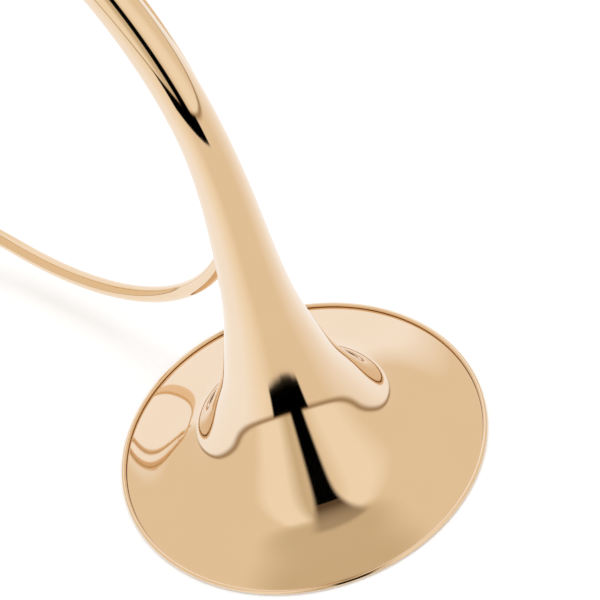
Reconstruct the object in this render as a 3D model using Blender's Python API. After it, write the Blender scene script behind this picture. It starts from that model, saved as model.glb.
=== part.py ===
"""Hunting horn with one and a half turns, built as separate brass pieces.

Sizes are in metres. The horn stands mouth down on the plane z = 0, as it hangs from its
ring: the bell's axis runs up along +Z, and the hoop lies in the plane y = 0, on the -X
side of the bell. The inner turn of the tube lies behind the tail, towards +Y. The
course of the tube is worked out from the centre of the bell's mouth, and the last step
moves the horn so that its footprint is centred on the origin.
"""
import math

import bmesh
import bpy
import numpy as np
from mathutils import Matrix, Vector

# Bell
BELL_DIAMETER = 0.270
BELL_WALL = 0.0005
LIP_ANGLE = math.radians(21)
RIM_WIRE_RADIUS = 0.00085
# Distance from the mouth, and outer radius there, as the maker's mandrel has them
BELL_STATIONS = [
    (0.0085, 0.1060),
    (0.0220, 0.0765),
    (0.0400, 0.0630),
    (0.0600, 0.0530),
    (0.0800, 0.0445),
    (0.1100, 0.0358),
    (0.1500, 0.0275),
    (0.2000, 0.0220),
    (0.2600, 0.0184),
]
CONE_START = 0.330
CONE_SLOPE = 0.0107

# Course of the tube, from the mouth of the bell to the receiver
BELL_STRAIGHT = 0.209
BEND_EASE = 0.122
OUTER_TURN_RADIUS = 0.259
TURN_SPACING = 0.021
INNER_TURN_RADIUS = OUTER_TURN_RADIUS - TURN_SPACING
TURN_DROP = 0.024
DROP_FROM = math.radians(208)
DROP_TO = math.radians(262)
MOUTHPIPE_RUN = 0.130

# Tube
TUBE_RADIUS = 0.0060
TUBE_WALL = 0.0005
CONE_END = 1.250
LEAD_RADIUS = 0.0046
LEAD_TAPER = 0.450
CLEARANCE = 0.0003

# Where one piece of the tube ends and the next begins, measured along the tube
BELL_LENGTH = 0.640
TAIL_BOW_LENGTH = 0.370
LOWER_BOW_LENGTH = 0.790
UPPER_BOW_LENGTH = 0.530

# Ferrules over the joints
FERRULE_LENGTH = 0.026
FERRULE_WALL = 0.0008
FERRULE_BEAD = 0.0007
FERRULE_BEAD_WIDTH = 0.0025

# Receiver and mouthpiece
RECEIVER_LENGTH = 0.040
RECEIVER_WALL = 0.0012
RECEIVER_LAP = 0.018
RECEIVER_RING = 0.0010
RECEIVER_RING_WIDTH = 0.0040
SHANK_RADIUS = 0.0041
SHANK_TIP_RADIUS = 0.0037
SHANK_DEPTH = 0.019
MOUTHPIECE_LENGTH = 0.064
CUP_RIM_RADIUS = 0.0125
CUP_MOUTH_RADIUS = 0.0087
CUP_DEPTH = 0.034
THROAT_RADIUS = 0.0023
BACKBORE_RADIUS = 0.0030

# Stays between the two turns, by their angle round the hoop
STAY_ANGLES = [math.radians(12), math.radians(60), math.radians(138)]
FOOT_LENGTH = 0.014
FOOT_WALL = 0.0009
FOOT_HALF_ANGLE = math.radians(48)
POST_RADIUS = 0.0021

# Strap rings and their lugs
STRAP_LUG_BEFORE_BELL_END = 0.0536
LOWER_STRAP_ANGLE = math.radians(240)
LUG_THICKNESS = 0.0030
LUG_FOOT_WIDTH = 0.0100
LUG_EYE_RADIUS = 0.0038
LUG_HOLE_RADIUS = 0.0019
LUG_HOLE_HEIGHT = 0.0042
STRAP_RING_RADIUS = 0.0105
STRAP_WIRE_RADIUS = 0.0012

# Fineness of the faceted solids
BELL_SIDES = 36
BOW_SIDES = 22
TUBE_SIDES = 14
STATION_STEP = 0.026
FLARE_STEPS = 15

BRASS = {
    "bell_brass": ((0.83, 0.56, 0.30), 0.08),
    "tube_brass": ((0.81, 0.54, 0.28), 0.10),
    "fitting_brass": ((0.77, 0.50, 0.25), 0.16),
    "silver_plate": ((0.78, 0.77, 0.74), 0.12),
    "rim_wire_brass": ((0.72, 0.46, 0.22), 0.30),
}


def clear_scene():
    for old in list(bpy.data.objects):
        bpy.data.objects.remove(old, do_unlink=True)


def make_materials():
    made = {}
    for name, (colour, roughness) in BRASS.items():
        material = bpy.data.materials.new(name)
        material.use_nodes = True
        shader = material.node_tree.nodes["Principled BSDF"]
        shader.inputs["Base Color"].default_value = (*colour, 1.0)
        shader.inputs["Metallic"].default_value = 1.0
        shader.inputs["Roughness"].default_value = roughness
        made[name] = material
    return made


def ease(t):
    """Smooth step from 0 to 1, level at both ends."""
    t = min(max(t, 0.0), 1.0)
    return t * t * (3.0 - 2.0 * t)


def eased_bend():
    """The bend into the hoop, whose curvature grows evenly from nothing."""
    steps = 60
    points = []
    x, z = 0.0, BELL_STRAIGHT
    step = BEND_EASE / steps
    for i in range(steps):
        middle = (i + 0.5) * step
        turn = middle ** 2 / (2.0 * BEND_EASE * OUTER_TURN_RADIUS)
        x -= math.sin(turn) * step
        z += math.cos(turn) * step
        points.append(Vector((x, 0.0, z)))
    heading = BEND_EASE / (2.0 * OUTER_TURN_RADIUS)
    return points, heading


def hoop_centre():
    points, heading = eased_bend()
    inward = Vector((-math.cos(heading), 0.0, -math.sin(heading)))
    return points[-1] + inward * OUTER_TURN_RADIUS


def hoop_point(angle):
    """A point of the tube's centre line by its angle round the hoop."""
    shift = ease((angle - DROP_FROM) / (DROP_TO - DROP_FROM))
    radius = OUTER_TURN_RADIUS + (INNER_TURN_RADIUS - OUTER_TURN_RADIUS) * shift
    flat = Vector((math.cos(angle), 0.0, math.sin(angle))) * radius
    return hoop_centre() + flat + Vector((0.0, TURN_DROP * shift, 0.0))


def course():
    """The whole centre line as close points, with the length run at each."""
    points = [Vector((0.0, 0.0, BELL_STRAIGHT * i / 60)) for i in range(61)]
    bend, heading = eased_bend()
    points += bend
    steps = 1100
    last = math.radians(540)
    for i in range(1, steps + 1):
        points.append(hoop_point(heading + (last - heading) * i / steps))
    end = points[-1]
    run_out = MOUTHPIPE_RUN + RECEIVER_LENGTH + MOUTHPIECE_LENGTH
    for i in range(1, 101):
        points.append(end - Vector((0.0, 0.0, run_out * i / 100)))
    lengths = [0.0]
    for a, b in zip(points, points[1:]):
        lengths.append(lengths[-1] + (b - a).length)
    return np.array(points), np.array(lengths)


COURSE, RUN = course()


def centre(s):
    return Vector([float(np.interp(s, RUN, COURSE[:, axis])) for axis in range(3)])


def frame_at(s):
    """Centre, outward, front and forward directions of the tube at a length."""
    reach = 0.002
    forward = (centre(min(s + reach, RUN[-1])) - centre(max(s - reach, 0.0))).normalized()
    outward = forward.cross(Vector((0.0, -1.0, 0.0))).normalized()
    return centre(s), outward, outward.cross(forward), forward


def length_at(angle):
    """Length run where the centre line passes an angle round the hoop."""
    middle = hoop_centre()
    turned = np.unwrap(np.arctan2(COURSE[:, 2] - middle.z, COURSE[:, 0] - middle.x))
    first = np.searchsorted(RUN, BELL_STRAIGHT)
    last = np.searchsorted(RUN, MOUTH_END - MOUTHPIPE_RUN)
    return float(np.interp(angle, turned[first:last], RUN[first:last]))


MOUTH_END = float(RUN[-1]) - RECEIVER_LENGTH - MOUTHPIECE_LENGTH


def spline(points, first_slope, last_slope, count):
    """Smooth curve through points, with the given directions at its two ends."""
    points = np.array(points)
    gaps = np.hypot(*np.diff(points, axis=0).T)
    at = np.concatenate([[0.0], np.cumsum(gaps)])
    n = len(points)
    matrix = np.zeros((n, n))
    right = np.zeros((n, 2))
    matrix[0, 0] = matrix[-1, -1] = 1.0
    right[0], right[-1] = first_slope, last_slope
    for i in range(1, n - 1):
        before, after = gaps[i - 1], gaps[i]
        matrix[i, i - 1:i + 2] = after, 2.0 * (before + after), before
        rise = after / before * (points[i] - points[i - 1])
        right[i] = 3.0 * (rise + before / after * (points[i + 1] - points[i]))
    slopes = np.linalg.solve(matrix, right)
    curve = []
    for u in np.linspace(0.0, at[-1], count):
        i = min(int(np.searchsorted(at, u, side="right")) - 1, n - 2)
        t = (u - at[i]) / gaps[i]
        curve.append(
            (1 + 2 * t) * (1 - t) ** 2 * points[i]
            + t * (1 - t) ** 2 * gaps[i] * slopes[i]
            + t * t * (3 - 2 * t) * points[i + 1]
            + t * t * (t - 1) * gaps[i] * slopes[i + 1]
        )
    return np.array(curve)


CURL_INNER = RIM_WIRE_RADIUS + CLEARANCE
CURL_OUTER = CURL_INNER + BELL_WALL


def cone_radius(s):
    """Outer radius of the plain taper between the flare and the even tube."""
    return TUBE_RADIUS + CONE_SLOPE * max(CONE_END - s, 0.0)


def flare_curve():
    """Outer face of the flare from the lip to the taper, as (s, radius)."""
    normal = Vector((math.cos(LIP_ANGLE), math.sin(LIP_ANGLE)))
    start = (
        CURL_OUTER - CURL_INNER * normal.x,
        BELL_DIAMETER / 2 - CURL_OUTER - CURL_INNER * normal.y,
    )
    points = [start, *BELL_STATIONS, (CONE_START, cone_radius(CONE_START))]
    lip = (math.sin(LIP_ANGLE), -math.cos(LIP_ANGLE))
    return spline(points, lip, (1.0, -CONE_SLOPE), 700)


FLARE = flare_curve()


def outer_radius(s):
    """Outer radius of the horn's tube at a length from the bell's mouth."""
    if s < CONE_START:
        return float(np.interp(s, FLARE[:, 0], FLARE[:, 1]))
    lead = MOUTH_END - LEAD_TAPER
    if s < lead:
        return cone_radius(s)
    return TUBE_RADIUS + (LEAD_RADIUS - TUBE_RADIUS) * min((s - lead) / LEAD_TAPER, 1.0)


BELL_END = BELL_LENGTH
TAIL_BOW_END = BELL_END + TAIL_BOW_LENGTH
LOWER_BOW_END = TAIL_BOW_END + LOWER_BOW_LENGTH
UPPER_BOW_END = LOWER_BOW_END + UPPER_BOW_LENGTH


def stay_spans():
    """Ends of each foot along the tube, for the tail side and the inner turn."""
    spans = []
    for angle in STAY_ANGLES:
        for turn in (angle, angle + math.radians(360)):
            middle = length_at(turn)
            spans.append((middle - FOOT_LENGTH / 2, middle + FOOT_LENGTH / 2))
    return spans


def strap_places():
    """Lengths at which the two strap lugs stand."""
    return [BELL_LENGTH - STRAP_LUG_BEFORE_BELL_END, length_at(LOWER_STRAP_ANGLE)]


def crossing():
    """Lengths at which the mouthpipe's straight run passes over the lower bow."""
    depth = math.sqrt(OUTER_TURN_RADIUS ** 2 - INNER_TURN_RADIUS ** 2)
    bow = length_at(math.radians(180) + math.asin(depth / OUTER_TURN_RADIUS))
    return bow, MOUTH_END - MOUTHPIPE_RUN + depth


def stations():
    """All lengths at which the tubes and what sits on them have a ring."""
    marks = [BELL_END, TAIL_BOW_END, LOWER_BOW_END, UPPER_BOW_END]
    spans = stay_spans()
    spans += [(m - FERRULE_LENGTH / 2, m + FERRULE_LENGTH / 2) for m in marks]
    spans += [(m - FOOT_LENGTH / 2, m + FOOT_LENGTH / 2) for m in crossing()]
    spans += [(m - LUG_THICKNESS / 2, m + LUG_THICKNESS / 2) for m in strap_places()]
    fixed = sorted({round(end, 7) for span in spans for end in span} | {MOUTH_END})
    places = [BELL_STRAIGHT]
    for mark in fixed:
        gap = mark - places[-1]
        pieces = max(1, math.ceil(gap / STATION_STEP - 0.3))
        places += [places[-1] + gap * (i + 1) / pieces for i in range(pieces)]
    return places


STATIONS = stations()


def between(start, end):
    """Ring places from start to end, both included."""
    tiny = 0.0012
    inside = [s for s in STATIONS if start + tiny < s < end - tiny]
    return [start, *inside, end]


def ring_points(s, radius, sides):
    middle, outward, front, _ = frame_at(s)
    turns = [2.0 * math.pi * i / sides for i in range(sides)]
    return [middle + (outward * math.cos(a) + front * math.sin(a)) * radius for a in turns]


def add_object(name, mesh_data, material, smooth=40):
    mesh = bpy.data.meshes.new(name)
    mesh_data.to_mesh(mesh)
    mesh_data.free()
    mesh.materials.append(material)
    mesh.shade_smooth()
    mesh.set_sharp_from_angle(angle=math.radians(smooth))
    piece = bpy.data.objects.new(name, mesh)
    bpy.context.scene.collection.objects.link(piece)
    return piece


def looped(rows, closed_row=True):
    """Mesh whose rows of points join to the next row, and the last to the first."""
    mesh = bmesh.new()
    grid = [[mesh.verts.new(point) for point in row] for row in rows]
    count = len(grid[0])
    spans = count if closed_row else count - 1
    for row, following in zip(grid, grid[1:] + grid[:1]):
        for i in range(spans):
            j = (i + 1) % count
            mesh.faces.new((row[i], row[j], following[j], following[i]))
    if not closed_row:
        mesh.faces.new([row[0] for row in grid])
        mesh.faces.new([row[-1] for row in reversed(grid)])
    bmesh.ops.recalc_face_normals(mesh, faces=mesh.faces)
    return mesh


def turned(name, wall, sides, material):
    """Round piece on the centre line; wall is its section as (s, radius) pairs."""
    rows = [ring_points(s, radius, sides) for s, radius in wall]
    return add_object(name, looped(rows), material)


def make_tube(name, start, end, sides, material):
    places = between(start, end)
    outside = [(s, outer_radius(s)) for s in places]
    inside = [(s, outer_radius(s) - TUBE_WALL) for s in reversed(places)]
    return turned(name, outside + inside, sides, material)


def flare_rows():
    """Outer face of the straight bell, as (s, radius, normal along s, normal out)."""
    rows = []
    for i in range(FLARE_STEPS):
        s = FLARE[0, 0] + (BELL_STRAIGHT - FLARE[0, 0]) * (i / FLARE_STEPS) ** 2
        at = int(np.clip(np.searchsorted(FLARE[:, 0], s), 1, len(FLARE) - 2))
        along, out = FLARE[at + 1] - FLARE[at - 1]
        size = math.hypot(along, out)
        rows.append((s, outer_radius(s), -out / size, along / size))
    return rows


def curl_rows(radius, turns):
    """Section points of the rolled edge round its wire."""
    along, out = math.cos(LIP_ANGLE), math.sin(LIP_ANGLE)
    middle = (FLARE[0, 0] + CURL_INNER * along, FLARE[0, 1] + CURL_INNER * out)
    return [(middle[0] + radius * math.sin(a), middle[1] + radius * math.cos(a)) for a in turns]


def make_bell(material):
    """Flare and tail in one piece, with the lip rolled back over the rim wire."""
    rows = flare_rows()
    tail = between(BELL_STRAIGHT, BELL_END)
    first = -math.pi / 2 - LIP_ANGLE
    turns = [first + (math.pi - first) * i / 8 for i in range(9)]
    back = [(s, radius) for s, radius, _, _ in rows[1:]]
    back += [(s, outer_radius(s)) for s in tail]
    front = [(s, outer_radius(s) - BELL_WALL) for s in reversed(tail)]
    for s, radius, along, out in reversed(rows[1:]):
        front.append((s - along * BELL_WALL, radius - out * BELL_WALL))
    edge = curl_rows(CURL_OUTER, turns) + curl_rows(CURL_INNER, reversed(turns))
    return turned("bell", edge + back + front, BELL_SIDES, material)


def make_rim_wire(material):
    turns = [2.0 * math.pi * i / 8 for i in range(8)]
    return turned("rim_wire", curl_rows(RIM_WIRE_RADIUS, turns), BELL_SIDES, material)


def make_ferrule(name, joint, sides, material):
    """Sleeve over a joint, with a bead at each end."""
    start, end = joint - FERRULE_LENGTH / 2, joint + FERRULE_LENGTH / 2
    thick = CLEARANCE + FERRULE_WALL
    bead = thick + FERRULE_BEAD
    marks = [
        (start, bead),
        (start + FERRULE_BEAD_WIDTH, bead),
        (start + FERRULE_BEAD_WIDTH * 1.2, thick),
        (end - FERRULE_BEAD_WIDTH * 1.2, thick),
        (end - FERRULE_BEAD_WIDTH, bead),
        (end, bead),
    ]
    outside = [(s, outer_radius(s) + rise) for s, rise in marks]
    inside = [(s, outer_radius(s) + CLEARANCE) for s in (end, joint, start)]
    return turned(name, outside + inside, sides, material)


def make_receiver(material):
    """Sleeve on the mouthpipe's end, whose outer half is the mouthpiece's socket."""
    start = MOUTH_END - RECEIVER_LAP
    end = start + RECEIVER_LENGTH
    lap = LEAD_RADIUS + CLEARANCE * 1.6
    outer = lap + RECEIVER_WALL
    ring = outer + RECEIVER_RING
    stop = MOUTH_END + CLEARANCE
    inner_taper = (SHANK_RADIUS - SHANK_TIP_RADIUS) / SHANK_DEPTH
    wall = [
        (start, lap + FERRULE_WALL),
        (start + RECEIVER_RING_WIDTH, outer),
        (end - RECEIVER_RING_WIDTH * 1.25, outer),
        (end - RECEIVER_RING_WIDTH, ring),
        (end, ring),
        (end, SHANK_RADIUS + CLEARANCE),
        (stop, SHANK_RADIUS + CLEARANCE - inner_taper * (end - stop)),
        (stop, lap),
        (start, lap),
    ]
    return turned("receiver", wall, TUBE_SIDES, material)


def make_mouthpiece(material):
    """Funnel mouthpiece turned in one piece, with its shank in the receiver."""
    seat = MOUTH_END - RECEIVER_LAP + RECEIVER_LENGTH
    tip = seat - SHANK_DEPTH
    rim = tip + MOUTHPIECE_LENGTH
    cup = rim - CUP_DEPTH
    stem = SHANK_RADIUS * 1.12
    wall = [
        (tip, SHANK_TIP_RADIUS),
        (seat, SHANK_RADIUS),
        (seat + 0.004, stem),
        (cup - 0.001, stem * 1.05),
    ]
    for i in range(1, 8):
        t = i / 8
        flare = stem * 1.05 + (CUP_RIM_RADIUS * 0.86 - stem * 1.05) * t ** 1.35
        wall.append((cup - 0.001 + (CUP_DEPTH - 0.004) * t, flare))
    wall += [
        (rim - 0.0040, CUP_RIM_RADIUS * 0.94),
        (rim - 0.0030, CUP_RIM_RADIUS),
        (rim - 0.0008, CUP_RIM_RADIUS),
        (rim, CUP_RIM_RADIUS - 0.0012),
        (rim, CUP_MOUTH_RADIUS + 0.0009),
        (rim - 0.0009, CUP_MOUTH_RADIUS),
    ]
    for i in range(1, 7):
        t = i / 7
        hollow = THROAT_RADIUS + (CUP_MOUTH_RADIUS - THROAT_RADIUS) * (1 - t) ** 0.8
        wall.append((rim - 0.0009 - (CUP_DEPTH - 0.0009) * t, hollow))
    wall += [(cup, THROAT_RADIUS), (tip, BACKBORE_RADIUS)]
    return turned("mouthpiece", wall, 20, material)


def make_foot(name, middle, facing, steps, material):
    """Curved plate soldered to a tube, centred on a direction round it."""
    places = [middle - FOOT_LENGTH / 2, middle + FOOT_LENGTH / 2]
    turns = [facing + FOOT_HALF_ANGLE * (2.0 * i / steps - 1.0) for i in range(steps + 1)]
    rows = []
    for s, rise in (
        (places[0], CLEARANCE),
        (places[0], CLEARANCE + FOOT_WALL),
        (places[1], CLEARANCE + FOOT_WALL),
        (places[1], CLEARANCE),
    ):
        centre_point, outward, front, _ = frame_at(s)
        radius = outer_radius(s) + rise
        spokes = [outward * math.cos(a) + front * math.sin(a) for a in turns]
        rows.append([centre_point + spoke * radius for spoke in spokes])
    return add_object(name, looped(rows, closed_row=False), material)


def direction_round(s, target):
    """Direction round the tube at a length in which a point lies."""
    middle, outward, front, _ = frame_at(s)
    offset = target - middle
    return math.atan2(offset.dot(front), offset.dot(outward))


def make_post(name, start, end, material):
    """Round post between two points."""
    axis = end - start
    mesh = bmesh.new()
    bmesh.ops.create_cone(
        mesh,
        cap_ends=True,
        segments=12,
        radius1=POST_RADIUS,
        radius2=POST_RADIUS,
        depth=axis.length,
    )
    turn = axis.to_track_quat("Z", "Y").to_matrix().to_4x4()
    mesh.transform(Matrix.Translation((start + end) / 2) @ turn)
    return add_object(name, mesh, material)


def make_stay(number, outer_s, inner_s, material):
    """Two feet and a post that hold two runs of the tube apart."""
    outer_middle, inner_middle = centre(outer_s), centre(inner_s)
    make_foot(
        f"stay_{number}_outer_foot", outer_s, direction_round(outer_s, inner_middle), 9, material
    )
    make_foot(
        f"stay_{number}_inner_foot", inner_s, direction_round(inner_s, outer_middle), 7, material
    )
    line = (inner_middle - outer_middle).normalized()
    rise = 2.0 * CLEARANCE + FOOT_WALL
    start = outer_middle + line * (outer_radius(outer_s) + rise)
    end = inner_middle - line * (outer_radius(inner_s) + rise)
    make_post(f"stay_{number}_post", start, end, material)


def lug_hole(s):
    """Centre of the hole in a strap lug that stands at a length."""
    middle, outward, _, _ = frame_at(s)
    return middle + outward * (outer_radius(s) + CLEARANCE + LUG_HOLE_HEIGHT)


def make_lug(number, s, material):
    """Flat eye that stands on the tube, with its hole along the tube."""
    middle, outward, front, forward = frame_at(s)
    hole = lug_hole(s)
    seat = outer_radius(s) + CLEARANCE
    spread = LUG_FOOT_WIDTH / 2 / seat
    outline = []
    for i in range(5):
        a = -spread + 2.0 * spread * i / 4
        outline.append(middle + (outward * math.cos(a) + front * math.sin(a)) * seat)
    for i in range(9):
        a = math.radians(100) - math.radians(200) * i / 8
        outline.append(hole + (outward * math.cos(a) + front * math.sin(a)) * LUG_EYE_RADIUS)
    inner = [hole + (point - hole).normalized() * LUG_HOLE_RADIUS for point in outline]
    half = forward * (LUG_THICKNESS / 2)
    rows = [
        [point - half for point in outline],
        [point + half for point in outline],
        [point + half for point in inner],
        [point - half for point in inner],
    ]
    return add_object(f"strap_lug_{number}", looped(rows), material, smooth=30)


def make_strap_ring(number, s, material):
    """Ring through the lug's hole, standing straight out; it turns about the hole."""
    _, outward, front, forward = frame_at(s)
    rows = []
    for i in range(20):
        a = 2.0 * math.pi * i / 20
        spoke = outward * math.cos(a) + forward * math.sin(a)
        middle = (outward + spoke) * STRAP_RING_RADIUS
        turns = [2.0 * math.pi * j / 8 for j in range(8)]
        rim = [spoke * math.cos(b) + front * math.sin(b) for b in turns]
        rows.append([middle + way * STRAP_WIRE_RADIUS for way in rim])
    ring = add_object(f"strap_ring_{number}", looped(rows), material)
    ring.location = lug_hole(s)


def centre_footprint():
    """Parent every piece to one empty that centres the horn on the origin."""
    horn = bpy.data.objects.new("horn", None)
    bpy.context.scene.collection.objects.link(horn)
    corners = []
    for piece in bpy.data.objects:
        if piece.type == "MESH":
            corners += [piece.location + vertex.co for vertex in piece.data.vertices]
            piece.parent = horn
    low = Vector([min(corner[axis] for corner in corners) for axis in range(3)])
    high = Vector([max(corner[axis] for corner in corners) for axis in range(3)])
    middle = (low + high) / 2
    horn.location = (-middle.x, -middle.y, -low.z)


def build():
    clear_scene()
    brass = make_materials()
    make_bell(brass["bell_brass"])
    make_rim_wire(brass["rim_wire_brass"])
    make_tube("tail_bow", BELL_END + CLEARANCE, TAIL_BOW_END, BOW_SIDES, brass["tube_brass"])
    make_tube("lower_bow", TAIL_BOW_END + CLEARANCE, LOWER_BOW_END, TUBE_SIDES, brass["tube_brass"])
    make_tube("upper_bow", LOWER_BOW_END + CLEARANCE, UPPER_BOW_END, TUBE_SIDES, brass["tube_brass"])
    make_tube("mouthpipe", UPPER_BOW_END + CLEARANCE, MOUTH_END, TUBE_SIDES, brass["tube_brass"])
    make_ferrule("bell_ferrule", BELL_END, BOW_SIDES, brass["fitting_brass"])
    make_ferrule("tail_ferrule", TAIL_BOW_END, BOW_SIDES, brass["fitting_brass"])
    make_ferrule("lower_ferrule", LOWER_BOW_END, TUBE_SIDES, brass["fitting_brass"])
    make_ferrule("upper_ferrule", UPPER_BOW_END, TUBE_SIDES, brass["fitting_brass"])
    make_receiver(brass["fitting_brass"])
    make_mouthpiece(brass["silver_plate"])
    for number, angle in enumerate(STAY_ANGLES, 1):
        inner = length_at(angle + math.radians(360))
        make_stay(number, length_at(angle), inner, brass["fitting_brass"])
    make_stay(len(STAY_ANGLES) + 1, *crossing(), brass["fitting_brass"])
    for number, place in enumerate(strap_places(), 1):
        make_lug(number, place, brass["fitting_brass"])
        make_strap_ring(number, place, brass["fitting_brass"])
    centre_footprint()


build()
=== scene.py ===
import math

import bmesh
import bpy
import numpy as np
from mathutils import Matrix, Vector


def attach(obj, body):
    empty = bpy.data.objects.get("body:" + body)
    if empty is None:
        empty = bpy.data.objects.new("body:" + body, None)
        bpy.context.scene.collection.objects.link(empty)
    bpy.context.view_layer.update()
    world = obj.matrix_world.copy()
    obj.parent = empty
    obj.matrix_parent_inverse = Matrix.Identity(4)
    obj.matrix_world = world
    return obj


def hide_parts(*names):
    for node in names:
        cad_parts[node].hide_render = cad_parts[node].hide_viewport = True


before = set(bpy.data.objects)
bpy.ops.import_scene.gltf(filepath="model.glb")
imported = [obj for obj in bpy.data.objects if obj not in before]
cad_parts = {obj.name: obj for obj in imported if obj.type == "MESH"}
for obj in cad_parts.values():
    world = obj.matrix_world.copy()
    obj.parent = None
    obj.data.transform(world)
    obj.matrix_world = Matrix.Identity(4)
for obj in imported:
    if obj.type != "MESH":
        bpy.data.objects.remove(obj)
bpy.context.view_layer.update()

# Bell: flare and tail hammered and spun from one sheet of gold brass, then mirror polished and
# clear lacquered. Its lip is rolled back over a wire. The tail bends into the hoop.
BELL_AXIS_X = 0.19657
BELL_RADIUS = 0.135
BELL_WALL = 0.0005
BELL_END = 0.640
BELL_STRAIGHT = 0.209
BEND_EASE = 0.122
OUTER_TURN = 0.259
INNER_TURN = 0.238
TURN_DROP = 0.024
DROP_FROM, DROP_TO = math.radians(208), math.radians(262)
MOUTHPIPE_RUN, RECEIVER_LENGTH, MOUTHPIECE_LENGTH = 0.130, 0.040, 0.064
BELL_SIDES = 232
LIP_ANGLE = math.radians(21)
CURL_INNER = 0.00115
CURL_OUTER = CURL_INNER + BELL_WALL
BELL_STATIONS = [
    (0.0085, 0.1060), (0.0220, 0.0765), (0.0400, 0.0630), (0.0600, 0.0530), (0.0800, 0.0445),
    (0.1100, 0.0358), (0.1500, 0.0275), (0.2000, 0.0220), (0.2600, 0.0184),
]
CONE_START, CONE_END, CONE_SLOPE = 0.330, 1.250, 0.0107
TUBE_RADIUS, LEAD_RADIUS, LEAD_TAPER = 0.0060, 0.0046, 0.450


def ease(t):
    """Smooth step from 0 to 1, level at both ends."""
    t = min(max(t, 0.0), 1.0)
    return t * t * (3.0 - 2.0 * t)


def course():
    """The tube's centre line as close points, the length run at each, and the hoop's centre."""
    points = [Vector((BELL_AXIS_X, 0.0, BELL_STRAIGHT * i / 60)) for i in range(61)]
    x, z, step = BELL_AXIS_X, BELL_STRAIGHT, BEND_EASE / 60
    for i in range(60):
        turn = ((i + 0.5) * step) ** 2 / (2.0 * BEND_EASE * OUTER_TURN)
        x, z = x - math.sin(turn) * step, z + math.cos(turn) * step
        points.append(Vector((x, 0.0, z)))
    heading = BEND_EASE / (2.0 * OUTER_TURN)
    middle = points[-1] - Vector((math.cos(heading), 0.0, math.sin(heading))) * OUTER_TURN
    for i in range(1, 1101):
        angle = heading + (math.radians(540) - heading) * i / 1100
        shift = ease((angle - DROP_FROM) / (DROP_TO - DROP_FROM))
        radius = OUTER_TURN + (INNER_TURN - OUTER_TURN) * shift
        spoke = Vector((math.cos(angle), 0.0, math.sin(angle))) * radius
        points.append(middle + spoke + Vector((0.0, TURN_DROP * shift, 0.0)))
    end = points[-1]
    run_out = MOUTHPIPE_RUN + RECEIVER_LENGTH + MOUTHPIECE_LENGTH
    points += [end - Vector((0.0, 0.0, run_out * i / 100)) for i in range(1, 101)]
    points = np.array(points)
    run = np.concatenate([[0.0], np.cumsum(np.linalg.norm(np.diff(points, axis=0), axis=1))])
    return points, run, middle


COURSE, RUN, HOOP_CENTRE = course()
MOUTH_END = float(RUN[-1]) - (RECEIVER_LENGTH + MOUTHPIECE_LENGTH)


def spline(points, first_slope, last_slope, count):
    """Smooth curve through points, with the given directions at its two ends."""
    points = np.array(points)
    gaps = np.hypot(*np.diff(points, axis=0).T)
    at = np.concatenate([[0.0], np.cumsum(gaps)])
    n = len(points)
    matrix, right = np.zeros((n, n)), np.zeros((n, 2))
    matrix[0, 0] = matrix[-1, -1] = 1.0
    right[0], right[-1] = first_slope, last_slope
    for i in range(1, n - 1):
        before, after = gaps[i - 1], gaps[i]
        matrix[i, i - 1:i + 2] = after, 2.0 * (before + after), before
        rise = after / before * (points[i] - points[i - 1])
        right[i] = 3.0 * (rise + before / after * (points[i + 1] - points[i]))
    slopes = np.linalg.solve(matrix, right)
    curve = []
    for u in np.linspace(0.0, at[-1], count):
        i = min(int(np.searchsorted(at, u, side="right")) - 1, n - 2)
        t = (u - at[i]) / gaps[i]
        curve.append(
            (1 + 2 * t) * (1 - t) ** 2 * points[i] + t * (1 - t) ** 2 * gaps[i] * slopes[i]
            + t * t * (3 - 2 * t) * points[i + 1] + t * t * (t - 1) * gaps[i] * slopes[i + 1]
        )
    return np.array(curve)


def cone_radius(s):
    """Outer radius of the plain taper between the flare and the even tube."""
    return TUBE_RADIUS + CONE_SLOPE * max(CONE_END - s, 0.0)


def flare_curve():
    """Outer face of the flare from the lip to the taper, as (s, radius)."""
    out = Vector((math.cos(LIP_ANGLE), math.sin(LIP_ANGLE)))
    start = (CURL_OUTER - CURL_INNER * out.x, BELL_RADIUS - CURL_OUTER - CURL_INNER * out.y)
    points = [start, *BELL_STATIONS, (CONE_START, cone_radius(CONE_START))]
    return spline(points, (out.y, -out.x), (1.0, -CONE_SLOPE), 3000)


FLARE = flare_curve()


def outer_radius(s):
    """Outer radius of the horn's tube at a length from the bell's mouth."""
    if s < CONE_START:
        return float(np.interp(s, FLARE[:, 0], FLARE[:, 1]))
    lead = MOUTH_END - LEAD_TAPER
    if s < lead:
        return cone_radius(s)
    return TUBE_RADIUS + (LEAD_RADIUS - TUBE_RADIUS) * min((s - lead) / LEAD_TAPER, 1.0)


def node(tree, kind, inputs=None, **settings):
    """Add a node, set it up and give its inputs a value or a link."""
    made = tree.nodes.new(kind)
    for name, value in settings.items():
        setattr(made, name, value)
    for name, value in (inputs or {}).items():
        if isinstance(value, bpy.types.NodeSocket):
            tree.links.new(value, made.inputs[name])
        else:
            made.inputs[name].default_value = value
    return made


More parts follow.
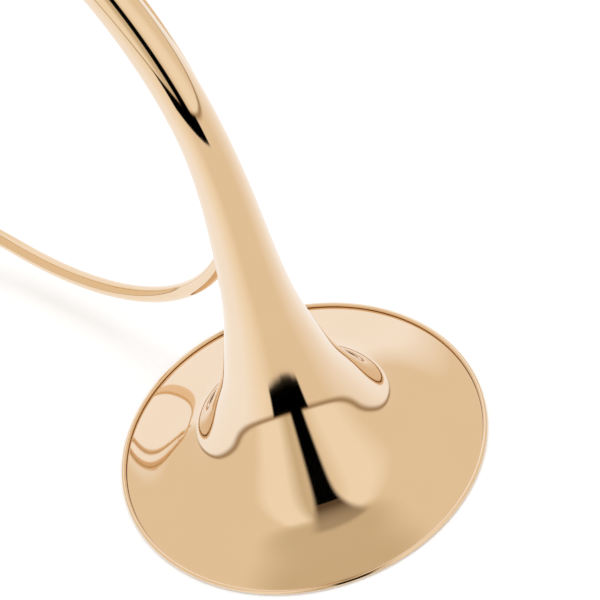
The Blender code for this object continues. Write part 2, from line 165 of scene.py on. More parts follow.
def swept_wall():
    """Node tree that carries a wall's outline (x along, y out) round the centre line."""
    tree = bpy.data.node_groups.new("Wall round the centre line", "GeometryNodeTree")
    tree.interface.new_socket("Body", in_out="OUTPUT", socket_type="NodeSocketGeometry")
    for name, kind in (
        ("Wall", "NodeSocketGeometry"), ("Centre line", "NodeSocketObject"),
        ("Sides", "NodeSocketInt"), ("Finish", "NodeSocketMaterial"),
    ):
        tree.interface.new_socket(name, in_out="INPUT", socket_type=kind)
    given = node(tree, "NodeGroupInput").outputs
    place = node(tree, "GeometryNodeInputPosition").outputs[0]
    split = node(tree, "ShaderNodeSeparateXYZ", {0: place}).outputs
    wall = node(tree, "GeometryNodeMeshToCurve", {"Mesh": given["Wall"]}).outputs[0]

    def keep(geometry, name, value):
        inputs = {"Geometry": geometry, "Name": name, "Value": value}
        return node(tree, "GeometryNodeStoreNamedAttribute", inputs, data_type="FLOAT").outputs[0]

    for name, value in (("along", split["X"]), ("out", split["Y"])):
        wall = keep(wall, name, value)
    circle = node(tree, "GeometryNodeCurvePrimitiveCircle", {"Resolution": given["Sides"]}).outputs[0]
    index = node(tree, "GeometryNodeInputIndex").outputs[0]
    part = node(tree, "ShaderNodeMath", {0: index, 1: given["Sides"]}, operation="DIVIDE").outputs[0]
    turn = node(tree, "ShaderNodeMath", {0: part, 1: 2.0 * math.pi}, operation="MULTIPLY").outputs[0]
    circle = keep(circle, "turn", turn)
    body = node(tree, "GeometryNodeCurveToMesh", {"Curve": circle, "Profile Curve": wall}).outputs[0]
    along, out, turn = (
        node(tree, "GeometryNodeInputNamedAttribute", {"Name": name}, data_type="FLOAT").outputs[0]
        for name in ("along", "out", "turn")
    )
    line = node(tree, "GeometryNodeObjectInfo", {"Object": given["Centre line"]}).outputs["Geometry"]
    line = node(tree, "GeometryNodeMeshToCurve", {"Mesh": line}).outputs[0]
    at = node(tree, "GeometryNodeSampleCurve", {"Curves": line, "Length": along}, mode="LENGTH").outputs

    def vector(kind, first, second=None):
        inputs = {0: first}
        if second is not None:
            inputs["Scale" if kind == "SCALE" else 1] = second
        return node(tree, "ShaderNodeVectorMath", inputs, operation=kind).outputs[0]

    forward = at["Tangent"]
    outward = vector("NORMALIZE", vector("CROSS_PRODUCT", forward, (0.0, -1.0, 0.0)))
    front = vector("CROSS_PRODUCT", outward, forward)
    cosine = node(tree, "ShaderNodeMath", {0: turn}, operation="COSINE").outputs[0]
    sine = node(tree, "ShaderNodeMath", {0: turn}, operation="SINE").outputs[0]
    spoke = vector("ADD", vector("SCALE", outward, cosine), vector("SCALE", front, sine))
    spot = vector("ADD", at["Position"], vector("SCALE", spoke, out))
    body = node(tree, "GeometryNodeSetPosition", {"Geometry": body, "Position": spot}).outputs[0]
    for name in ("along", "out", "turn"):
        body = node(tree, "GeometryNodeRemoveAttribute", {"Geometry": body, "Name": name}).outputs[0]
    body = node(tree, "GeometryNodeRealizeInstances", {"Geometry": body}).outputs[0]
    inputs = {"Geometry": body, "Material": given["Finish"]}
    body = node(tree, "GeometryNodeSetMaterial", inputs).outputs[0]
    tree.links.new(body, node(tree, "NodeGroupOutput").inputs[0])
    return tree


def line_object(name, points, closed):
    """Points joined by edges."""
    mesh = bpy.data.meshes.new(name)
    count = len(points)
    edges = [(i, (i + 1) % count) for i in range(count if closed else count - 1)]
    mesh.from_pydata([tuple(point) for point in points], edges, [])
    made = bpy.data.objects.new(name, mesh)
    bpy.context.scene.collection.objects.link(made)
    return made


SWEPT_WALL = swept_wall()
CENTRE_LINE = line_object("tube centre line", COURSE, False)


def finished(name, mesh, cad_node, body, sharp=35):
    """Name a piece's mesh, shade it, attach it to its body and hide the part it stands in for."""
    tidy = bmesh.new()
    tidy.from_mesh(mesh)
    bmesh.ops.recalc_face_normals(tidy, faces=tidy.faces)
    tidy.to_mesh(mesh)
    tidy.free()
    mesh.name = name
    mesh.shade_smooth()
    mesh.set_sharp_from_angle(angle=math.radians(sharp))
    piece = bpy.data.objects.new(name, mesh)
    bpy.context.scene.collection.objects.link(piece)
    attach(piece, body)
    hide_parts(cad_node)
    return piece


def swept(name, outline, sides, finish, cad_node, body="horn"):
    """A round piece on the centre line, from its wall's outline as (s, radius) pairs."""
    wall = line_object(name + " outline", [(s, radius, 0.0) for s, radius in outline], True)
    growth = wall.modifiers.new("wall", "NODES")
    growth.node_group = SWEPT_WALL
    sockets = {
        item.name: item.identifier
        for item in SWEPT_WALL.interface.items_tree if item.in_out == "INPUT"
    }
    growth[sockets["Centre line"]] = CENTRE_LINE
    growth[sockets["Sides"]] = sides
    growth[sockets["Finish"]] = finish
    bpy.context.view_layer.update()
    grown = wall.evaluated_get(bpy.context.evaluated_depsgraph_get())
    mesh = bpy.data.meshes.new_from_object(grown)
    wall.modifiers.remove(growth)
    bpy.data.objects.remove(wall, do_unlink=True)
    return finished(name, mesh, cad_node, body)


def linear(colour):
    """An sRGB hex colour as linear red, green, blue and 1."""
    parts = [int(colour[i:i + 2], 16) / 255 for i in (1, 3, 5)]
    return (*((c / 12.92 if c <= 0.04045 else ((c + 0.055) / 1.055) ** 2.4) for c in parts), 1.0)


def polished_metal(name, light, dark, roughness, coat, waves, wave_size):
    """Polished metal: tone and gloss vary faintly, and the hand-worked face waves a little."""
    made = bpy.data.materials.new(name)
    made.use_nodes = True
    tree = made.node_tree
    shader = tree.nodes["Principled BSDF"]
    where = node(tree, "ShaderNodeTexCoord").outputs["Object"]
    cloud = node(tree, "ShaderNodeTexNoise", {"Vector": where, "Scale": 14.0, "Detail": 3.0}).outputs[0]
    tones = {"Factor": cloud, 6: linear(light), 7: linear(dark)}
    tone = node(tree, "ShaderNodeMix", tones, data_type="RGBA").outputs[2]
    tree.links.new(tone, shader.inputs["Base Color"])
    haze = node(tree, "ShaderNodeTexNoise", {"Vector": where, "Scale": 55.0, "Detail": 6.0}).outputs[0]
    gloss = {"Value": haze, "To Min": roughness * 0.7, "To Max": roughness * 1.3}
    gloss = node(tree, "ShaderNodeMapRange", gloss).outputs[0]
    tree.links.new(gloss, shader.inputs["Roughness"])
    swell = node(tree, "ShaderNodeTexNoise", {"Vector": where, "Scale": wave_size, "Detail": 1.0})
    bump = {"Height": swell.outputs[0], "Strength": waves, "Distance": 0.001}
    tree.links.new(node(tree, "ShaderNodeBump", bump).outputs[0], shader.inputs["Normal"])
    shader.inputs["Metallic"].default_value = 1.0
    shader.inputs["Coat Weight"].default_value = coat
    shader.inputs["Coat Roughness"].default_value = 0.02
    return made


# Gold brass sheet, mirror polished under a clear lacquer
BELL_BRASS = polished_metal(
    "polished lacquered bell brass", "#F5DFC6", "#F1D8BB",
    roughness=0.045, coat=0.35, waves=0.012, wave_size=14,
)


def curl(radius, first, last, count):
    """Points of the rolled lip round its wire, as (s, radius) pairs."""
    along, out = math.cos(LIP_ANGLE), math.sin(LIP_ANGLE)
    middle = FLARE[0] + np.array([along, out]) * CURL_INNER
    turns = np.linspace(first, last, count)
    return [(middle[0] + radius * math.sin(a), middle[1] + radius * math.cos(a)) for a in turns]


def bell_outline():
    """The lip's roll, the back of the bell and tail, and their inside."""
    picks = (np.linspace(0.0, 1.0, 120) ** 1.5 * (len(FLARE) - 2)).astype(int)[1:]
    faces = FLARE[picks]
    slopes = FLARE[picks + 1] - FLARE[picks - 1]
    slopes /= np.linalg.norm(slopes, axis=1)[:, None]
    tail = [(s, cone_radius(s)) for s in np.linspace(CONE_START + 0.004, BELL_END, 58)]
    inside = faces - np.stack([-slopes[:, 1], slopes[:, 0]], axis=1) * BELL_WALL
    first = -math.pi / 2 - LIP_ANGLE
    lip = curl(CURL_OUTER, first, math.pi, 22) + curl(CURL_INNER, math.pi, first, 16)
    tail_inside = [(s, radius - BELL_WALL) for s, radius in reversed(tail)]
    return lip + [tuple(p) for p in faces] + tail + tail_inside + [tuple(p) for p in inside[::-1]]


swept("bell_polished", bell_outline(), BELL_SIDES, BELL_BRASS, "bell")

# Rim wire: drawn brass wire inside the rolled lip, which stiffens the bell's edge.
RIM_WIRE_RADIUS, RIM_WIRE_POINTS = 0.00085, 16
RIM_WIRE_BRASS = polished_metal(
    "drawn brass wire", "#DDB47E", "#CFA36A", roughness=0.30, coat=0.0, waves=0.0, wave_size=30,
)
last_turn = 2.0 * math.pi * (RIM_WIRE_POINTS - 1) / RIM_WIRE_POINTS
swept(
    "rim_wire_drawn", curl(RIM_WIRE_RADIUS, 0.0, last_turn, RIM_WIRE_POINTS), BELL_SIDES,
    RIM_WIRE_BRASS, "rim_wire",
)

# Bows and mouthpipe: drawn brass tubes, filled, bent to the hoop and polished. The tail bow
# goes on tapering, the lower bow passes behind the tail and the mouthpipe narrows to its end.
TUBE_WALL = 0.0005
SEAM_GAP = 0.0003
TAIL_BOW_LENGTH, LOWER_BOW_LENGTH, UPPER_BOW_LENGTH = 0.370, 0.790, 0.530
TAIL_BOW_END = BELL_END + TAIL_BOW_LENGTH
LOWER_BOW_END = TAIL_BOW_END + LOWER_BOW_LENGTH
UPPER_BOW_END = LOWER_BOW_END + UPPER_BOW_LENGTH
TAIL_SIDES, TUBE_SIDES, RING_STEP = 72, 56, 0.005
TUBE_BRASS = polished_metal(
    "polished lacquered tube brass", "#F3DABD", "#EFD0A9",
    roughness=0.055, coat=0.35, waves=0.06, wave_size=34,
)
for name, start, end, sides in (
    ("tail_bow", BELL_END + SEAM_GAP, TAIL_BOW_END, TAIL_SIDES),
    ("lower_bow", TAIL_BOW_END + SEAM_GAP, LOWER_BOW_END, TUBE_SIDES),
    ("upper_bow", LOWER_BOW_END + SEAM_GAP, UPPER_BOW_END, TUBE_SIDES),
    ("mouthpipe", UPPER_BOW_END + SEAM_GAP, MOUTH_END, TUBE_SIDES),
):
    places = np.linspace(start, end, int((end - start) / RING_STEP))
    outline = [(s, outer_radius(s)) for s in places]
    outline += [(s, outer_radius(s) - TUBE_WALL) for s in reversed(places)]
    swept(name + "_polished", outline, sides, TUBE_BRASS, name)

# Ferrules: turned brass sleeves with a round bead at each end, soldered over the joints
# between the bell and the bows.
FERRULE_LENGTH, FERRULE_WALL = 0.026, 0.0008
BEAD_RISE, BEAD_WIDTH = 0.0007, 0.0027
FITTING_SIDES = 72
FITTING_BRASS = polished_metal(
    "polished lacquered fitting brass", "#EFD0A6", "#E8C291",
    roughness=0.075, coat=0.3, waves=0.03, wave_size=60,
)


def bead(start, width, base, rise, count=11):
    """Half-round bead on a sleeve, as (s, height) pairs."""
    turns = np.linspace(0.0, math.pi, count)
    return [
        (start + width * (1 - math.cos(a)) / 2, base + rise * math.sin(a) ** 0.7) for a in turns
    ]


for name, joint in (
    ("bell_ferrule", BELL_END), ("tail_ferrule", TAIL_BOW_END),
    ("lower_ferrule", LOWER_BOW_END), ("upper_ferrule", UPPER_BOW_END),
):
    start, end = joint - FERRULE_LENGTH / 2, joint + FERRULE_LENGTH / 2
    thick = SEAM_GAP + FERRULE_WALL
    marks = bead(start, BEAD_WIDTH, thick, BEAD_RISE)
    marks += [(s, thick) for s in np.linspace(start + BEAD_WIDTH, end - BEAD_WIDTH, 9)[1:-1]]
    marks += bead(end - BEAD_WIDTH, BEAD_WIDTH, thick, BEAD_RISE)
    marks += [(s, SEAM_GAP) for s in np.linspace(end, start, 9)]
    outline = [(s, outer_radius(s) + rise) for s, rise in marks]
    swept(name + "_turned", outline, FITTING_SIDES, FITTING_BRASS, name)

# Receiver: turned brass sleeve soldered on the mouthpipe's end. Its outer half is the taper
# that the mouthpiece's shank sits in, and its end is stiffened by a round ring.
RECEIVER_START = MOUTH_END - 0.018
RECEIVER_END = RECEIVER_START + RECEIVER_LENGTH
RECEIVER_LAP_RADIUS = LEAD_RADIUS + SEAM_GAP * 1.6
RECEIVER_WALL, RECEIVER_THIN_WALL = 0.0012, 0.0004
RECEIVER_RADIUS = RECEIVER_LAP_RADIUS + RECEIVER_WALL
RECEIVER_LEAD_IN, SOCKET_CHAMFER = 0.005, 0.0003
RECEIVER_SIDES = 64
SHANK_RADIUS, SHANK_TIP_RADIUS, SHANK_DEPTH = 0.0041, 0.0037, 0.019
stop = MOUTH_END + SEAM_GAP
socket = SHANK_RADIUS + SEAM_GAP
narrowing = (SHANK_RADIUS - SHANK_TIP_RADIUS) / SHANK_DEPTH
edge = RECEIVER_LAP_RADIUS + RECEIVER_THIN_WALL
outline = [(RECEIVER_START, edge)]
outline += [
    (
        RECEIVER_START + RECEIVER_LEAD_IN * t,
        edge + (RECEIVER_WALL - RECEIVER_THIN_WALL) * ease(t),
    )
    for t in np.linspace(0.0, 1.0, 9)[1:]
]
outline += [(RECEIVER_START + 0.020, RECEIVER_RADIUS)]
outline += bead(RECEIVER_START + 0.0215, 0.0016, RECEIVER_RADIUS, 0.0004, 9)
outline += [(RECEIVER_END - 0.010, RECEIVER_RADIUS)]
outline += bead(RECEIVER_END - 0.0045, 0.0045, RECEIVER_RADIUS, 0.0010, 15)
outline += [
    (RECEIVER_END, socket + 0.0004), (RECEIVER_END - SOCKET_CHAMFER, socket),
    (stop, socket - narrowing * (RECEIVER_END - stop)),
    (stop, RECEIVER_LAP_RADIUS), (RECEIVER_START, RECEIVER_LAP_RADIUS),
]
swept("receiver_turned", outline, RECEIVER_SIDES, FITTING_BRASS, "receiver")

# Mouthpiece: turned from brass rod and silver plated. Its cup is a deep funnel, its rim is
# rounded, and its tapered shank is held in the receiver by friction.
CUP_DEPTH, CUP_RIM_RADIUS, CUP_MOUTH_RADIUS = 0.034, 0.0125, 0.0087
THROAT_RADIUS, BACKBORE_RADIUS, SHANK_CHAMFER = 0.0023, 0.0030, 0.0002
MOUTHPIECE_SIDES = 96
SILVER_PLATE = polished_metal(
    "polished silver plate", "#ECEAE4", "#E2DFD6", roughness=0.09, coat=0.0, waves=0.02, wave_size=60,
)
tip = RECEIVER_END - SHANK_DEPTH
rim = tip + MOUTHPIECE_LENGTH
cup = rim - CUP_DEPTH
stem = SHANK_RADIUS * 1.12
outline = [(tip, SHANK_TIP_RADIUS - SHANK_CHAMFER), (tip + SHANK_CHAMFER, SHANK_TIP_RADIUS)]
outline += [(RECEIVER_END, SHANK_RADIUS), (RECEIVER_END + 0.004, stem), (cup - 0.0035, stem)]
outline += bead(cup - 0.0034, 0.0016, stem, 0.0005, 9)
neck, lip = stem * 1.05, CUP_RIM_RADIUS * 0.86
outline += [
    (cup - 0.001 + (CUP_DEPTH - 0.004) * t, neck + (lip - neck) * t ** 1.35)
    for t in np.linspace(0.0, 0.93, 34)
]
for t in np.linspace(0.0, 1.0, 17):
    turn = math.pi * t
    across = (CUP_RIM_RADIUS - CUP_MOUTH_RADIUS) / 2
    outline.append((
        rim - 0.0026 + 0.0026 * math.sin(turn) ** 0.8,
        (CUP_RIM_RADIUS + CUP_MOUTH_RADIUS) / 2 + across * math.cos(turn),
    ))
for t in np.linspace(0.0, 1.0, 26):
    hollow = (CUP_MOUTH_RADIUS - THROAT_RADIUS) * (1 - t) ** 0.8
    outline.append((rim - 0.0030 - (CUP_DEPTH - 0.0030) * t, THROAT_RADIUS + hollow))
outline += [(tip + SHANK_CHAMFER, BACKBORE_RADIUS), (tip, BACKBORE_RADIUS + SHANK_CHAMFER)]
swept(
    "mouthpiece_turned", outline, MOUTHPIECE_SIDES, SILVER_PLATE,
    "mouthpiece", "mouthpiece",
)

# Stays: each is a pair of curved plates soldered to two runs of the tube, and a turned post
# between them. Three stand between the turns, and one where the mouthpipe crosses.
STAY_ANGLES = [math.radians(a) for a in (12, 60, 138)]
FOOT_LENGTH, FOOT_WALL, FOOT_HALF_ANGLE = 0.014, 0.0009, math.radians(48)
FOOT_END_WIDTH = 0.45
POST_RADIUS, POST_COLLAR, POST_STEP, POST_WAIST = 0.0021, 0.0012, 0.90, 0.16


def centre(s):
    """Point of the centre line at a length."""
    return Vector([float(np.interp(s, RUN, COURSE[:, axis])) for axis in range(3)])


def frame_at(s):
    """Centre, outward, front and forward directions of the tube at a length."""
    forward = (centre(s + 0.002) - centre(s - 0.002)).normalized()
    outward = forward.cross(Vector((0.0, -1.0, 0.0))).normalized()
    return centre(s), outward, outward.cross(forward), forward


def length_at(angle):
    """Length run where the centre line passes an angle round the hoop."""
    turned = np.unwrap(np.arctan2(COURSE[:, 2] - HOOP_CENTRE.z, COURSE[:, 0] - HOOP_CENTRE.x))
    first = np.searchsorted(RUN, BELL_STRAIGHT)
    last = np.searchsorted(RUN, MOUTH_END - MOUTHPIPE_RUN)
    return float(np.interp(angle, turned[first:last], RUN[first:last]))


def rows_mesh(rows, finish, capped):
    """Rows of points joined in a ring; capped rows are open strips with their ends filled."""
    grid = bmesh.new()
    verts = [[grid.verts.new(point) for point in row] for row in rows]
    count = len(rows[0])
    for row, following in zip(verts, verts[1:] + verts[:1]):
        for i in range(count - 1 if capped else count):
            j = (i + 1) % count
            grid.faces.new((row[i], row[j], following[j], following[i]))
    if capped:
        grid.faces.new([row[0] for row in verts])
        grid.faces.new([row[-1] for row in reversed(verts)])
    mesh = bpy.data.meshes.new("rows")
    grid.to_mesh(mesh)
    grid.free()
    mesh.materials.append(finish)
    return mesh


def foot(name, middle, target):
    """Curved plate with rounded corners, facing another run of the tube."""
    hub, outward, front, _ = frame_at(middle)
    facing = math.atan2((target - hub).dot(front), (target - hub).dot(outward))
    section = [(-1.0, 0.0), (-1.0, 0.72), (-0.93, 1.0), (-0.5, 1.0), (0.0, 1.0), (0.5, 1.0)]
    section += [(0.93, 1.0), (1.0, 0.72), (1.0, 0.0), (0.5, 0.0), (0.0, 0.0), (-0.5, 0.0)]
    rows = []
    for along, up in section:
        row = []
        for v in np.linspace(-1.0, 1.0, 33):
            rounding = max(1.0 - abs(v) ** 4, 0.0) ** 0.5
            half = FOOT_LENGTH / 2 * (rounding * (1.0 - FOOT_END_WIDTH) + FOOT_END_WIDTH)
            spot, way_out, way_front, _ = frame_at(middle + half * along)
            turn = facing + FOOT_HALF_ANGLE * v
            spoke = way_out * math.cos(turn) + way_front * math.sin(turn)
            radius = outer_radius(middle + half * along) + SEAM_GAP + FOOT_WALL * up
            row.append(spot + spoke * radius)
        rows.append(row)
    finished(name + "_plate", rows_mesh(rows, FITTING_BRASS, True), name, "horn")


def post(name, start, end):
    """Turned post with a collar at each end and a slimmer waist."""
    axis = (end - start).normalized()
    length = (end - start).length
    side = axis.orthogonal().normalized()
    other = axis.cross(side)
    collar = min(POST_COLLAR, length * 0.2)
    marks = [(0.0, 1.0), (collar * 0.7, 1.0), (collar, POST_STEP)]
    marks += [
        (collar + (length - 2 * collar) * t, POST_STEP - POST_WAIST * math.sin(math.pi * t))
        for t in np.linspace(0.08, 0.92, 11)
    ]
    marks += [(length - collar, POST_STEP), (length - collar * 0.7, 1.0), (length, 1.0)]
    rows = []
    for a in np.linspace(0.0, 2.0 * math.pi, 33)[:-1]:
        spoke = (side * math.cos(a) + other * math.sin(a)) * POST_RADIUS
        rows.append([start + axis * at + spoke * size for at, size in marks])
    finished(name + "_turned", rows_mesh(rows, FITTING_BRASS, True), name, "horn")


depth = math.sqrt(OUTER_TURN ** 2 - INNER_TURN ** 2)
crossing = (
    length_at(math.radians(180) + math.asin(depth / OUTER_TURN)),
    MOUTH_END - MOUTHPIPE_RUN + depth,
)
pairs = [(length_at(a), length_at(a + math.radians(360))) for a in STAY_ANGLES] + [crossing]
for number, (outer, inner) in enumerate(pairs, 1):
    foot(f"stay_{number}_outer_foot", outer, centre(inner))
    foot(f"stay_{number}_inner_foot", inner, centre(outer))
    line = (centre(inner) - centre(outer)).normalized()
    rise = 2.0 * SEAM_GAP + FOOT_WALL
    post(
        f"stay_{number}_post", centre(outer) + line * (outer_radius(outer) + rise),
        centre(inner) - line * (outer_radius(inner) + rise),
    )

# Strap lugs and rings: flat brass eyes soldered on the outside of the hoop, each with a loose
# ring of bent wire, brazed shut, that swings in the eye and takes a strap or a hook.
STRAP_LUG_BEFORE_BELL_END = 0.0536
STRAP_PLACES = [BELL_END - STRAP_LUG_BEFORE_BELL_END, length_at(math.radians(240))]
LUG_THICKNESS, LUG_FOOT_WIDTH = 0.0030, 0.0100
LUG_EYE_RADIUS, LUG_HOLE_RADIUS, LUG_HOLE_HEIGHT = 0.0038, 0.0019, 0.0042
STRAP_RING_RADIUS, STRAP_WIRE_RADIUS = 0.0105, 0.0012
for number, s in enumerate(STRAP_PLACES, 1):
    middle, outward, front, forward = frame_at(s)
    seat = outer_radius(s) + SEAM_GAP
    hole = middle + outward * (seat + LUG_HOLE_HEIGHT)
    spread = LUG_FOOT_WIDTH / 2 / seat
    outline = [
        middle + (outward * math.cos(a) + front * math.sin(a)) * seat
        for a in np.linspace(-spread, spread, 15)
    ]
    outline += [
        hole + (outward * math.cos(a) + front * math.sin(a)) * LUG_EYE_RADIUS
        for a in np.radians(np.linspace(100, -100, 41))
    ]
    rows = []
    for across, inset in (
        (-1.0, 0.08), (-0.86, 0.0), (0.86, 0.0), (1.0, 0.08),
        (1.0, 0.86), (0.80, 1.0), (-0.80, 1.0), (-1.0, 0.86),
    ):
        shift = forward * (LUG_THICKNESS / 2 * across)
        rows.append([
            hole + (point - hole).lerp((point - hole).normalized() * LUG_HOLE_RADIUS, inset) + shift
            for point in outline
        ])
    name = f"strap_lug_{number}"
    finished(name + "_eye", rows_mesh(rows, FITTING_BRASS, False), name, "horn", 45)
    rows = []
    for a in np.linspace(0.0, 2.0 * math.pi, 97)[:-1]:
        spoke = outward * math.cos(a) + forward * math.sin(a)
        hub = hole + (outward + spoke) * STRAP_RING_RADIUS
        turns = np.linspace(0.0, 2.0 * math.pi, 25)[:-1]
        rim = [spoke * math.cos(b) + front * math.sin(b) for b in turns]
        rows.append([hub + way * STRAP_WIRE_RADIUS for way in rim])
    name = f"strap_ring_{number}"
    finished(name + "_wire", rows_mesh(rows, FITTING_BRASS, False), name, name)

bpy.data.objects.remove(CENTRE_LINE, do_unlink=True)

# Floor: a plain white sheet under the bell's mouth. It stays white to the camera but for the
# horn's own soft shadow.
floor_mesh = bpy.data.meshes.new("floor")
floor_mesh.from_pydata([(-9, -9, 0), (9, -9, 0), (9, 9, 0), (-9, 9, 0)], [], [(0, 1, 2, 3)])
floor = bpy.data.objects.new("floor", floor_mesh)
bpy.context.scene.collection.objects.link(floor)
floor.location.z = -0.0004
WHITE_FLOOR = bpy.data.materials.new("matt white studio paper")
WHITE_FLOOR.use_nodes = True
tree = WHITE_FLOOR.node_tree
shader = tree.nodes["Principled BSDF"]
shader.inputs["Base Color"].default_value = linear("#FEFEFE")
shader.inputs["Roughness"].default_value = 1.0
shader.inputs["Specular IOR Level"].default_value = 0.0
floor_mesh.materials.append(WHITE_FLOOR)
floor.visible_glossy = False

# Studio: the world seen only in the polished metal is a painted reflection, colours set by direction
# that light nothing.
# Painted cream in front and painted tan at the sides stand for muslin and canvas, the back is white,
# and a dark slit for the camera runs up to a dim roof in painted shade. All but the metal sees plain
# white.
WHITE, BLACK, PAINTED_REFLECTION_CREAM = linear("#FFFFFF"), linear("#000000"), linear("#FAF2E0")
PAINTED_REFLECTION_TAN, PAINTED_REFLECTION_SHADE, PAINTED_REFLECTION_BROWN_BAND = linear("#ECDDC4"), linear("#D2C2A4"), linear("#A89070")
SLIT_SHADE = linear("#5C4A38")
# Bands round the horizon by heading; the darker tan at -14 is painted shade beside the slit.
PAINTED_REFLECTION_WALLS = (
    (-152, WHITE), (-147, PAINTED_REFLECTION_TAN), (-64, PAINTED_REFLECTION_TAN), (-50, PAINTED_REFLECTION_CREAM), (-28, PAINTED_REFLECTION_CREAM),
    (-14, PAINTED_REFLECTION_SHADE), (18, PAINTED_REFLECTION_TAN), (34, PAINTED_REFLECTION_CREAM), (60, PAINTED_REFLECTION_CREAM), (86, PAINTED_REFLECTION_TAN),
    (152, PAINTED_REFLECTION_TAN), (162, WHITE),
)
PAINTED_REFLECTION_BELOW = ((-82, WHITE), (-45, PAINTED_REFLECTION_CREAM), (-16, PAINTED_REFLECTION_TAN), (60, PAINTED_REFLECTION_TAN), (130, WHITE))
PAINTED_TABLE_EDGE = math.sin(math.radians(-12.0))
PAINTED_ROOF_EDGE = math.sin(math.radians(71.5))
PAINTED_SLIT_MIDDLE, PAINTED_SLIT_HALF_WIDTH, PAINTED_SLIT_BLUR = 0.085, 0.165, 0.045
PAINTED_SLIT_TOP, SHADE_TOP = (0.735, 0.765), (0.80, 1.15)
PAINTED_STAND_FOOT, PAINTED_STAND_TOP = (-0.375, -0.355), (-0.20, -0.22)
PAINTED_STAND_MIDDLE, PAINTED_STAND_SIDES = -3.0 / 360.0, (31.0 / 360.0, 27.0 / 360.0)
VIEW_SIDE = Vector((0.5302, -0.4343, 0.0)).normalized()
VIEW_ACROSS = Vector((-VIEW_SIDE.y, VIEW_SIDE.x, 0.0))
world = bpy.data.worlds.new("painted reflection studio")
world.use_nodes = True
tree = world.node_tree
tree.nodes.clear()


def laid_over(below, above, *steps):
    """One colour over another where every smooth step, a value and its two levels, is up."""
    cover = 1.0
    for value, low, high in steps:
        limits = {"Value": value, "From Min": low, "From Max": high}
        up = node(tree, "ShaderNodeMapRange", limits, interpolation_type="SMOOTHSTEP").outputs[0]
        cover = node(tree, "ShaderNodeMath", {0: cover, 1: up}, operation="MULTIPLY").outputs[0]
    mix = {"Factor": cover, 6: below, 7: above}
    return node(tree, "ShaderNodeMix", mix, data_type="RGBA").outputs[2]


def off_middle(value, middle):
    """Distance of a value from a middle, to either side."""
    gap = node(tree, "ShaderNodeMath", {0: value, 1: middle}, operation="SUBTRACT").outputs[0]
    return node(tree, "ShaderNodeMath", {0: gap}, operation="ABSOLUTE").outputs[0]


def round_horizon(place, cloths):
    """Painted reflection bands, one after another round the horizon, by heading in degrees."""
    ramp = node(tree, "ShaderNodeValToRGB", {0: place})
    band = ramp.color_ramp
    marks = [((heading + 180) / 360, cloth) for heading, cloth in cloths]
    for element, mark in zip((band.elements[0], band.elements[1]), (marks[0], marks[-1])):
        element.position, element.color = mark
    for spot, cloth in marks[1:-1]:
        band.elements.new(spot).color = cloth
    return ramp.outputs[0]


way = node(tree, "ShaderNodeTexCoord").outputs["Generated"]
ahead, across = (
    node(tree, "ShaderNodeVectorMath", {0: way, 1: axis}, operation="DOT_PRODUCT").outputs["Value"]
    for axis in (VIEW_SIDE, VIEW_ACROSS)
)
height = node(tree, "ShaderNodeSeparateXYZ", {0: way}).outputs["Z"]
turned = node(tree, "ShaderNodeMath", {0: across, 1: ahead}, operation="ARCTAN2").outputs[0]
whole_turn = {0: turned, 1: 2.0 * math.pi}
heading = node(tree, "ShaderNodeMath", whole_turn, operation="DIVIDE").outputs[0]
place = node(tree, "ShaderNodeMath", {0: heading, 1: 0.5}, operation="ADD").outputs[0]
# Painted reflection: cream and tan bands below the horizon stand for a table, the painted walls above
# it.
studio = laid_over(
    round_horizon(place, PAINTED_REFLECTION_BELOW), round_horizon(place, PAINTED_REFLECTION_WALLS),
    (height, PAINTED_TABLE_EDGE - 0.012, PAINTED_TABLE_EDGE + 0.012),
)
# Painted reflection: a brown band along the table's edge at the horizon, fading out at the back.
studio = laid_over(
    studio, PAINTED_REFLECTION_BROWN_BAND, (height, PAINTED_TABLE_EDGE - 0.045, PAINTED_TABLE_EDGE),
    (height, PAINTED_TABLE_EDGE + 0.03, PAINTED_TABLE_EDGE), (ahead, -0.9, -0.6),
)
# Painted shade: a darker tan band over the roof edge, seen only in the metal.
studio = laid_over(studio, PAINTED_REFLECTION_SHADE, (height, PAINTED_ROOF_EDGE - 0.025, PAINTED_ROOF_EDGE + 0.035))
# Painted shade in the camera's slit: black, dim brown at its top, then the darker tan painted shade.
dark = laid_over(BLACK, SLIT_SHADE, (height, *PAINTED_SLIT_TOP))
dark = laid_over(dark, PAINTED_REFLECTION_SHADE, (height, *SHADE_TOP))
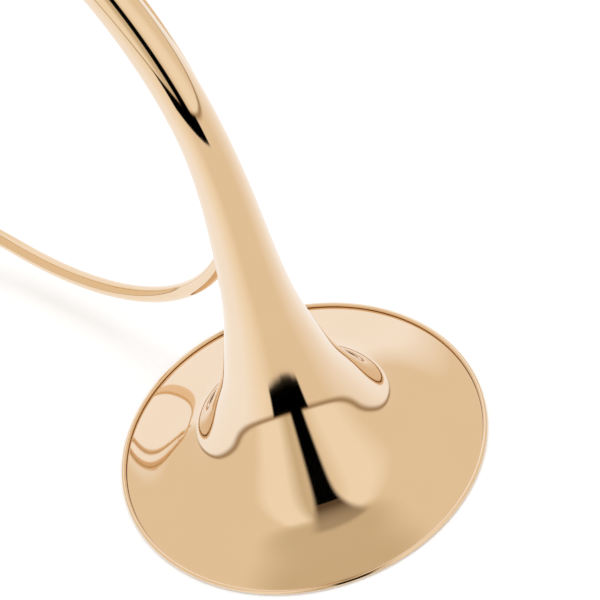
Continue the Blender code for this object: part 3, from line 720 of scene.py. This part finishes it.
# Painted dark reflection: a black slit for the camera, from the horizon upward, facing the camera.
slit_sides = (
    off_middle(across, PAINTED_SLIT_MIDDLE), PAINTED_SLIT_HALF_WIDTH + PAINTED_SLIT_BLUR, PAINTED_SLIT_HALF_WIDTH - PAINTED_SLIT_BLUR,
)
studio = laid_over(studio, dark, slit_sides, (ahead, -0.02, 0.08), (height, *PAINTED_STAND_FOOT))
# Painted dark reflection: a black stand below the horizon, seen only in the metal.
studio = laid_over(
    studio, BLACK, (height, *PAINTED_STAND_FOOT), (height, *PAINTED_STAND_TOP),
    (off_middle(heading, PAINTED_STAND_MIDDLE), *PAINTED_STAND_SIDES),
)
# Only glossy rays see the painted reflection; camera and diffuse rays see even white.
in_metal = node(tree, "ShaderNodeLightPath").outputs["Is Glossy Ray"]
seen = {"Factor": in_metal, 6: WHITE, 7: studio}
seen = node(tree, "ShaderNodeMix", seen, data_type="RGBA").outputs[2]
even = node(tree, "ShaderNodeBackground", {"Color": seen, "Strength": 1.0}).outputs[0]
tree.links.new(even, node(tree, "ShaderNodeOutputWorld").inputs[0])
bpy.context.scene.world = world

lamp = bpy.data.lights.new("overhead softbox", "AREA")
lamp.shape = "DISK"
lamp.size = 2.4
lamp.energy = 22.0
softbox = bpy.data.objects.new("overhead softbox", lamp)
bpy.context.scene.collection.objects.link(softbox)
softbox.location = (0.1, 0.6, 3.2)
aim = Vector((0.1, 0.0, 0.1)) - softbox.location
softbox.rotation_euler = aim.to_track_quat("-Z", "Y").to_euler()
softbox.visible_glossy = False

# Camera: high over the bell's back, rolled, with a long lens close in on the bell.
right = Vector((0.7673, 0.6112, -0.1942)).normalized()
back = Vector((0.5302, -0.4343, 0.7282))
back = (back - right * back.dot(right)).normalized()
up = back.cross(right)
lens = bpy.data.cameras.new("camera")
lens.lens = 210.0
lens.sensor_width = 36.0
lens.clip_end = 50.0
camera = bpy.data.objects.new("camera", lens)
bpy.context.scene.collection.objects.link(camera)
spot = Vector((BELL_AXIS_X, 0.0, 0.0)) - right * 0.002704 + up * 0.10504 + back * 2.5354
camera.matrix_world = Matrix.Translation(spot) @ Matrix((right, up, back)).transposed().to_4x4()
bpy.context.scene.camera = camera
bpy.context.scene.view_settings.view_transform = "Standard"
